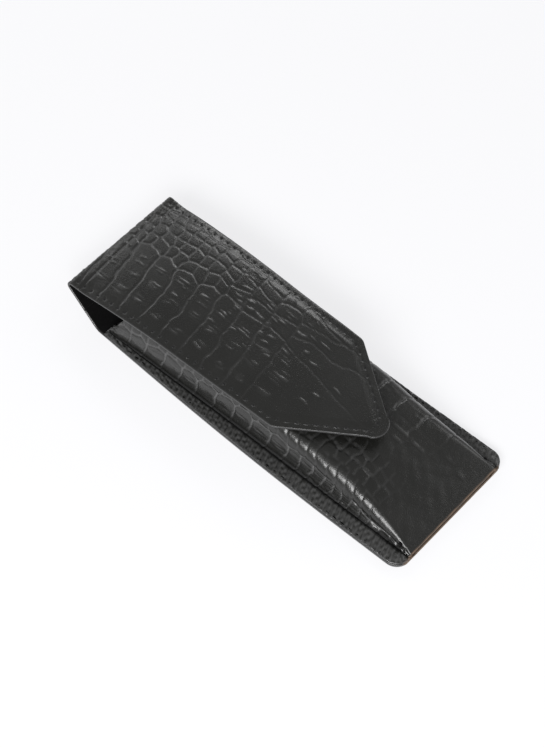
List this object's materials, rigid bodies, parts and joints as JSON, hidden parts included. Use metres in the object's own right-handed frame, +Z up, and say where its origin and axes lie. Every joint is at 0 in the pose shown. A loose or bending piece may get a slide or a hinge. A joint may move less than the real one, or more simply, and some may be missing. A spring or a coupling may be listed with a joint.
{
  "type": "fountain pen case",
  "caption": "Flap case in crocodile-embossed leather that holds fountain pens in a gusseted pocket under a pointed, magnet-held flap.",
  "frame": {"origin": "on the table, under the middle of the closed case's box", "axes": "+X across the case, +Y from the foot seam to the fold, +Z up, away from the back panel"},
  "size_m": [0.0604, 0.166, 0.0223],
  "materials": {
    "embossed_leather": "satin, crocodile-embossed calf leather",
    "board": "grey-brown fibre board",
    "lining": "matt suede-like lining",
    "thread": "bonded sewing thread",
    "magnet": "nickel-plated disc"
  },
  "bodies": {
    "case": {"back_leather": "embossed_leather", "back_board": "board", "back_lining": "lining", "front_leather": "embossed_leather", "front_board": "board", "front_lining": "lining", "pen_divider": "embossed_leather", "front_magnet": "magnet", "left_seam_thread": "thread", "right_seam_thread": "thread", "foot_seam_thread": "thread", "mouth_thread": "thread", "divider_thread": "thread"},
    "spine": {"spine_leather": "embossed_leather", "spine_lining": "lining", "spine_thread": "thread"},
    "flap": {"flap_leather": "embossed_leather", "flap_board": "board", "flap_lining": "lining", "flap_magnet": "magnet", "flap_thread": "thread"}
  },
  "joints": [
    {"name": "spine_bend", "type": "hinge", "parent": "case", "child": "spine", "pos_m": [0, 0.065, 0.0013], "axis": [-1, 0, 0], "range_deg": [0, 30]},
    {"name": "flap_fold", "type": "hinge", "parent": "spine", "child": "flap", "pos_m": [0, 0.081, 0.012], "axis": [-1, 0, 0], "range_deg": [0, 135]}
  ],
  "couplings": [
    {"joint": "spine_bend", "follows": "flap_fold", "ratio": 0.2222}
  ]
}
